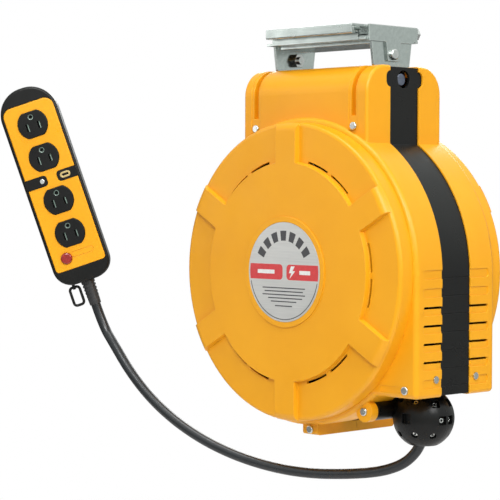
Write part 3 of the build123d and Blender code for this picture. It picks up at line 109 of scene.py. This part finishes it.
# ---------------------------------------------------------------- materials
class Look:
    """A procedural material in object coordinates. Its methods add nodes and return their output sockets."""

    def __init__(self, name, **values):
        self.material = bpy.data.materials.new(name)
        self.material.use_nodes = True
        self.tree = self.material.node_tree
        self.shader = self.tree.nodes["Principled BSDF"]
        for socket, value in values.items():
            self.set(socket.replace("_", " "), value)
        self.place = self.tree.nodes.new("ShaderNodeTexCoord").outputs["Object"]

    def node(self, kind, **settings):
        made = self.tree.nodes.new(kind)
        for key, value in settings.items():
            setattr(made, key, value)
        return made

    def feed(self, socket, value):
        if isinstance(value, bpy.types.NodeSocket):
            self.tree.links.new(value, socket)
        else:
            socket.default_value = value

    def set(self, socket, value):
        if isinstance(value, tuple) and len(value) == 3:
            value = (*value, 1)
        self.feed(self.shader.inputs[socket], value)

    def stretched(self, x, y, z):
        """The object's coordinates, stretched."""
        made = self.node("ShaderNodeMapping")
        self.feed(made.inputs["Vector"], self.place)
        made.inputs["Scale"].default_value = (x, y, z)
        return made.outputs["Vector"]

    def noise(self, size, detail=3, roughness=0.55, place=None):
        """Noise whose blobs are about this many metres across."""
        made = self.node("ShaderNodeTexNoise")
        self.feed(made.inputs["Vector"], place or self.place)
        made.inputs["Scale"].default_value = 1 / size
        made.inputs["Detail"].default_value = detail
        made.inputs["Roughness"].default_value = roughness
        return made.outputs["Fac"]

    def spread(self, value, low, high, to_low, to_high):
        """A value's range low..high stretched to to_low..to_high."""
        made = self.node("ShaderNodeMapRange")
        keys = ("Value", "From Min", "From Max", "To Min", "To Max")
        for key, number in zip(keys, (value, low, high, to_low, to_high)):
            self.feed(made.inputs[key], number)
        return made.outputs["Result"]

    def math(self, operation, a, b=0.0):
        made = self.node("ShaderNodeMath", operation=operation)
        self.feed(made.inputs[0], a)
        self.feed(made.inputs[1], b)
        return made.outputs["Value"]

    def blend(self, factor, a, b):
        made = self.node("ShaderNodeMix", data_type="RGBA")
        self.feed(made.inputs["Factor"], factor)
        for socket, value in ((made.inputs[6], a), (made.inputs[7], b)):
            self.feed(socket, (*value, 1) if isinstance(value, tuple) and len(value) == 3 else value)
        return made.outputs[2]

    def edge(self, radius):
        """1 on edges and corners within this radius, 0 on open faces."""
        rounded = self.node("ShaderNodeBevel", samples=4)
        rounded.inputs["Radius"].default_value = radius
        true = self.node("ShaderNodeNewGeometry")
        dot = self.node("ShaderNodeVectorMath", operation="DOT_PRODUCT")
        self.feed(dot.inputs[0], rounded.outputs["Normal"])
        self.feed(dot.inputs[1], true.outputs["Normal"])
        return self.spread(dot.outputs["Value"], 0.7, 1.0, 1.0, 0.0)

    def relief(self, heights, edges=None):
        """Bump from (value, height in metres) pairs, on a normal rounded at the edges by this radius."""
        normal = None
        if edges:
            rounded = self.node("ShaderNodeBevel", samples=4)
            rounded.inputs["Radius"].default_value = edges
            normal = rounded.outputs["Normal"]
        for value, height in heights:
            made = self.node("ShaderNodeBump")
            made.inputs["Strength"].default_value = 1.0
            made.inputs["Distance"].default_value = height
            self.feed(made.inputs["Height"], value)
            if normal is not None:
                self.feed(made.inputs["Normal"], normal)
            normal = made.outputs["Normal"]
        self.set("Normal", normal)


def moulded(name, colour, other, fleck_and_highlight, rough, grain, edges=0.0006, **values):
    """Moulded plastic: drift of colour, a painted highlight along the edges in patches, spark-eroded grain
    and faint flow in the gloss.
    """
    look = Look(name, **values)
    drift = look.spread(look.noise(0.07, 3), 0.3, 0.7, 0.0, 1.0)
    body = look.blend(drift, colour, other)
    fleck = look.spread(look.noise(0.0009, 2), 0.62, 0.8, 0.0, 0.25)
    body = look.blend(fleck, body, fleck_and_highlight)
    patches = look.spread(look.noise(0.012, 4), 0.35, 0.65, 0.15, 0.8)
    # painted highlight: the lighter colour laid in patches along edges and corners
    painted_edge_highlight = look.math("MULTIPLY", look.edge(edges * 2), patches)
    look.set("Base Color", look.blend(painted_edge_highlight, body, fleck_and_highlight))
    smear = look.spread(look.noise(0.03, 5, 0.6), 0.3, 0.7, rough - 0.05, rough + 0.07)
    look.set("Roughness", look.math("ADD", smear, look.spread(look.noise(0.0012, 2), 0.3, 0.7, -0.02, 0.03)))
    look.relief([(look.noise(0.03, 2), 0.00012), (look.noise(0.0007, 2), grain)], edges)
    return look.material


def metal(name, colour, other, rough, grain=0.00001, along=(1, 1, 1), edges=0.0003):
    """Bare or plated metal: brushed variation along one way, handling smears and a painted highlight along
    the edges.
    """
    look = Look(name, Metallic=1.0)
    streak = look.noise(0.004, 5, 0.65, look.stretched(*along))
    tint = look.spread(streak, 0.3, 0.7, 0.0, 1.0)
    body = look.blend(tint, colour, other)
    # painted highlight: edges and corners lightened towards near white
    body = look.blend(look.math("MULTIPLY", look.edge(edges * 3), 0.35), body, (0.9, 0.9, 0.88))
    look.set("Base Color", body)
    look.set("Roughness", look.spread(look.noise(0.02, 5, 0.65), 0.3, 0.7, rough - 0.07, rough + 0.1))
    look.relief([(streak, grain)], edges)
    return look.material


def rubber(name, colour, other, rough, pitch):
    """Soft black jacket or boot: dusty bloom, gentle waviness and fine pores."""
    look = Look(name)
    bloom = look.spread(look.noise(0.025, 4, 0.6), 0.35, 0.75, 0.0, 1.0)
    look.set("Base Color", look.blend(bloom, colour, other))
    look.set("Roughness", look.spread(look.noise(0.012, 4), 0.3, 0.7, rough - 0.06, rough + 0.08))
    look.relief([(look.noise(0.02, 2), 0.00008), (look.noise(pitch, 2), 0.000006)])
    return look.material


def lens(name, colour, other):
    """Moulded clear plastic with a little depth of colour."""
    look = Look(name, Roughness=0.16, Coat_Weight=0.3)
    look.set("Base Color", look.blend(look.spread(look.noise(0.003), 0.3, 0.7, 0.0, 1.0), colour, other))
    look.relief([(look.noise(0.001, 2), 0.00003)])
    return look.material


# the third colour serves both the random flecks and the painted highlight along edges
YELLOW, YELLOW_DEEP, YELLOW_FLECK_AND_HIGHLIGHT = (0.84, 0.375, 0.008), (0.80, 0.345, 0.006), (0.90, 0.5, 0.03)
materials = {
    "yellow_shell": moulded("shell_plastic", YELLOW, YELLOW_DEEP, YELLOW_FLECK_AND_HIGHLIGHT, 0.36, 0.000012,
                            Specular_IOR_Level=0.35),
    "yellow_tap": moulded("tap_plate_plastic", YELLOW, YELLOW_DEEP, YELLOW_FLECK_AND_HIGHLIGHT, 0.3, 0.000008, 0.0004,
                          Specular_IOR_Level=0.35),
    "black_plastic": moulded("black_moulding", (0.007, 0.007, 0.0065), (0.005, 0.005, 0.005),
                             (0.018, 0.018, 0.018), 0.3, 0.000008, 0.0006, Specular_IOR_Level=0.2),
    "white_nylon": moulded("nylon", (0.72, 0.71, 0.66), (0.66, 0.65, 0.6), (0.8, 0.8, 0.77), 0.42,
                           0.00001, 0.0004),
    "zinc_steel": metal("zinc_plate", (0.50, 0.54, 0.52), (0.42, 0.46, 0.44), 0.2, 0.000003,
                        (0.1, 1, 1), 0.0008),
    "bright_steel": metal("plated_steel", (0.62, 0.63, 0.61), (0.5, 0.51, 0.5), 0.22, 0.000006, (0.3, 1, 1)),
    "spring_steel": metal("blued_spring", (0.2, 0.23, 0.3), (0.13, 0.14, 0.18), 0.3, 0.000006, (1, 0.1, 1)),
    "bronze": metal("sintered_bronze", (0.5, 0.31, 0.13), (0.4, 0.25, 0.11), 0.42, 0.00002),
    "brass": metal("contact_brass", (0.72, 0.52, 0.2), (0.55, 0.42, 0.18), 0.28, 0.000006),
    "contact_metal": metal("tinned_contacts", (0.30, 0.40, 0.34), (0.22, 0.30, 0.26), 0.3, 0.000006),
    "carbon": moulded("carbon_brush", (0.02, 0.02, 0.021), (0.03, 0.03, 0.03), (0.08, 0.08, 0.08), 0.5,
                      0.00001),
    "label_silver": metal("label_foil", (0.70, 0.69, 0.67), (0.62, 0.61, 0.6), 0.4, 0.000004, (0.1, 1, 3)),
    "cord_jacket": rubber("cord_pvc", (0.006, 0.0075, 0.009), (0.011, 0.013, 0.016), 0.3, 0.0006),
    "black_rubber": rubber("boot_rubber", (0.012, 0.012, 0.013), (0.024, 0.024, 0.025), 0.46, 0.0008),
    "red_lens": lens("pilot_lens", (0.34, 0.012, 0.008), (0.2, 0.005, 0.004)),
}

for node in nodes.values():
    for place in range(len(node.material_slots)):
        node.data.materials[place] = materials[node.data.materials[place].name.split(".")[0]]
cord.data.materials.append(materials["cord_jacket"])

# ---------------------------------------------------------------- print on the label
label_low, label_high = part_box("label_plate")
LABEL = Vector(((label_low.x + label_high.x) / 2, label_low.y, (label_low.z + label_high.z) / 2))
LABEL_R = (label_high.x - label_low.x) / 2
INK = 0.00005             # thickness of one coat of print


def inked(name, outlines, look, coats=1):
    """Thin flat print on the label's face, from outlines in its plane, in millimetres from its middle."""
    mesh = bmesh.new()
    for outline in outlines:
        face = mesh.faces.new([mesh.verts.new((x * MM, -INK * coats, z * MM)) for x, z in outline])
        grown = bmesh.ops.extrude_face_region(mesh, geom=[face])["geom"]
        for corner in grown:
            if isinstance(corner, bmesh.types.BMVert):
                corner.co.y = INK * 0.2
    bmesh.ops.recalc_face_normals(mesh, faces=mesh.faces[:])
    data = bpy.data.meshes.new(name)
    mesh.to_mesh(data)
    mesh.free()
    made = bpy.data.objects.new(name, data)
    scene.collection.objects.link(made)
    made.location = LABEL
    data.materials.append(look)
    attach(made, "reel")
    return made


def arc(radius, start, end, steps=24):
    """Points on a circle about the label's middle, from start to end in degrees."""
    turns = [math.radians(start + (end - start) * i / steps) for i in range(steps + 1)]
    return [(radius * math.cos(t), radius * math.sin(t)) for t in turns]


def ring_piece(inner, outer, start, end, steps=24):
    return arc(outer, start, end, steps) + arc(inner, end, start, steps)


def band(side, height, inner, outer_radius, round_radius):
    """Half of the label's cross band: rounded at its inner end, cut by the label's edge at the outer one."""
    half = height / 2
    reach = math.degrees(math.asin(half / outer_radius))
    outer = arc(outer_radius, -reach, reach, 12)
    corners = []
    for z, first in ((half - round_radius, 90), (-half + round_radius, 180)):
        for i in range(7):
            turn_by = math.radians(first + 15 * i)
            corners.append((inner + round_radius * (1 + math.cos(turn_by)),
                            z + round_radius * math.sin(turn_by)))
    return [(side * x, z) for x, z in outer + corners]


def bar(x0, x1, z, height):
    return [(x0, z - height / 2), (x1, z - height / 2), (x1, z + height / 2), (x0, z + height / 2)]


def ink(name, colour, rough):
    look = Look(name)
    look.set("Base Color", look.blend(look.spread(look.noise(0.004, 4), 0.3, 0.7, 0.0, 1.0), colour,
                                      tuple(c * 0.85 for c in colour)))
    look.set("Roughness", look.spread(look.noise(0.01), 0.3, 0.7, rough - 0.04, rough + 0.06))
    look.relief([(look.noise(0.0005, 2), 0.000004)])
    return look.material


RED_INK = ink("red_ink", (0.62, 0.045, 0.05), 0.35)
DARK_INK = ink("dark_ink", (0.05, 0.05, 0.055), 0.4)
PALE_INK = ink("pale_ink", (0.8, 0.8, 0.78), 0.4)

# millimetres from the label's middle
EDGE = LABEL_R / MM - 2
BAND, BAND_ROUND = 15.5, 4.0
BLOCKS, BLOCK_START, BLOCK_PITCH, BLOCK_SPAN = 7, 28, 19, 12    # the arc of blocks, in degrees
BLOCK_IN, BLOCK_OUT = 31.5, 41.5
RULE = 1.1
RULES = [(-16, -30, 30), (-19.4, -27, 27), (-22.8, -30, 30), (-26.2, -22, 26), (-29.6, -18, 18),
         (-34, -12, 12)]          # height, left end, right end
BAR = 4.0
BOLT = [(15.5, 6.2), (10.5, 6.2), (7.5, -0.8), (11.0, -0.8), (8.5, -6.4), (16.2, 1.4), (12.6, 1.4)]

bands = [band(side, BAND, inner, EDGE, BAND_ROUND) for side, inner in ((-1, 1.5), (1, 4.0))]
inked("label_red_print", bands, RED_INK)
blocks = [BLOCK_START + BLOCK_PITCH * i for i in range(BLOCKS)]
inked("label_arc_print", [ring_piece(BLOCK_IN, BLOCK_OUT, start, start + BLOCK_SPAN, 8) for start in blocks] +
      [ring_piece(EDGE - 0.9, EDGE, 192, 348, 60)], DARK_INK)
inked("label_line_print", [bar(x0, x1, z, RULE) for z, x0, x1 in RULES], DARK_INK)
inked("label_pale_print", [bar(-37, -13, 0, BAR), bar(22, 37, 0, BAR), BOLT], PALE_INK, 2)

# ---------------------------------------------------------------- floor, light
FLOOR_Z = -0.72
FLOOR_R = 1.5


def floor_disc():
    mesh = bmesh.new()
    bmesh.ops.create_circle(mesh, cap_ends=True, segments=96, radius=FLOOR_R)
    data = bpy.data.meshes.new("floor")
    mesh.to_mesh(data)
    mesh.free()
    made = bpy.data.objects.new("floor", data)
    scene.collection.objects.link(made)
    made.location = (0, 0, FLOOR_Z)
    look = Look("floor_paint", Roughness=0.7)
    look.set("Base Color", look.blend(look.noise(0.3, 2), (0.86, 0.86, 0.85), (0.82, 0.82, 0.81)))
    length = look.node("ShaderNodeVectorMath", operation="LENGTH")
    look.feed(length.inputs[0], look.place)
    look.set("Alpha", look.spread(length.outputs["Value"], FLOOR_R * 0.55, FLOOR_R * 0.98, 1.0, 0.0))
    look.relief([(look.noise(0.002, 2), 0.00005)])
    data.materials.append(look.material)


def soft_box(name, azimuth, elevation, distance, size, power):
    """A square area light that looks at the reel's middle from this bearing."""
    light = bpy.data.lights.new(name, "AREA")
    light.shape, light.size, light.energy = "SQUARE", size, power
    made = bpy.data.objects.new(name, light)
    scene.collection.objects.link(made)
    a, e = math.radians(azimuth), math.radians(elevation)
    away = Vector((math.sin(a) * math.cos(e), -math.cos(a) * math.cos(e), math.sin(e)))
    made.location = disc + away * distance
    made.rotation_mode = "QUATERNION"
    made.rotation_quaternion = (-away).to_track_quat("-Z", "Y")


floor_disc()
for light in [("key", 38, 34, 2.4, 0.8, 36), ("side", 84, 30, 2.6, 1.0, 30), ("top", 20, 78, 2.2, 1.0, 20),
              ("back", 215, 28, 2.6, 1.4, 34), ("left", 300, 12, 2.6, 1.4, 10)]:
    soft_box(*light)

FILL = 0.26
SKY_SLOPE = (0.25, -0.1, 1.0)
SKY_RANGE = (-0.35, 0.55, 0.16, 1.25)      # along the slope from dim to bright, and the two strengths
SKY_TINT, WHITE = (0.95, 1.0, 0.975, 1), (1, 1, 1, 1)


def studio_world():
    """White behind the object, a dim even fill, and for gloss a sky darker towards the floor and left."""
    world = bpy.data.worlds.new("studio")
    scene.world = world
    world.use_nodes = True
    tree = world.node_tree
    before = tree.nodes["Background"]
    before.inputs["Color"].default_value, before.inputs["Strength"].default_value = WHITE, FILL
    aim = tree.nodes.new("ShaderNodeTexCoord").outputs["Generated"]
    slope = tree.nodes.new("ShaderNodeVectorMath")
    slope.operation = "DOT_PRODUCT"
    tree.links.new(aim, slope.inputs[0])
    slope.inputs[1].default_value = SKY_SLOPE
    sky = tree.nodes.new("ShaderNodeMapRange")
    tree.links.new(slope.outputs["Value"], sky.inputs["Value"])
    for key, number in zip(("From Min", "From Max", "To Min", "To Max"), SKY_RANGE):
        sky.inputs[key].default_value = number
    path = tree.nodes.new("ShaderNodeLightPath")
    rays = (("Is Glossy Ray", SKY_TINT, sky.outputs["Result"]), ("Is Camera Ray", WHITE, None))
    for ray, colour, strength in rays:
        background = tree.nodes.new("ShaderNodeBackground")
        background.inputs["Color"].default_value = colour
        if strength:
            tree.links.new(strength, background.inputs["Strength"])
        pick = tree.nodes.new("ShaderNodeMixShader")
        tree.links.new(path.outputs[ray], pick.inputs["Fac"])
        tree.links.new(before.outputs[0], pick.inputs[1])
        tree.links.new(background.outputs[0], pick.inputs[2])
        before = pick
    tree.links.new(before.outputs[0], tree.nodes["World Output"].inputs["Surface"])


studio_world()
scene.view_settings.view_transform = "Standard"

# ---------------------------------------------------------------- view layer update
bpy.context.view_layer.update()
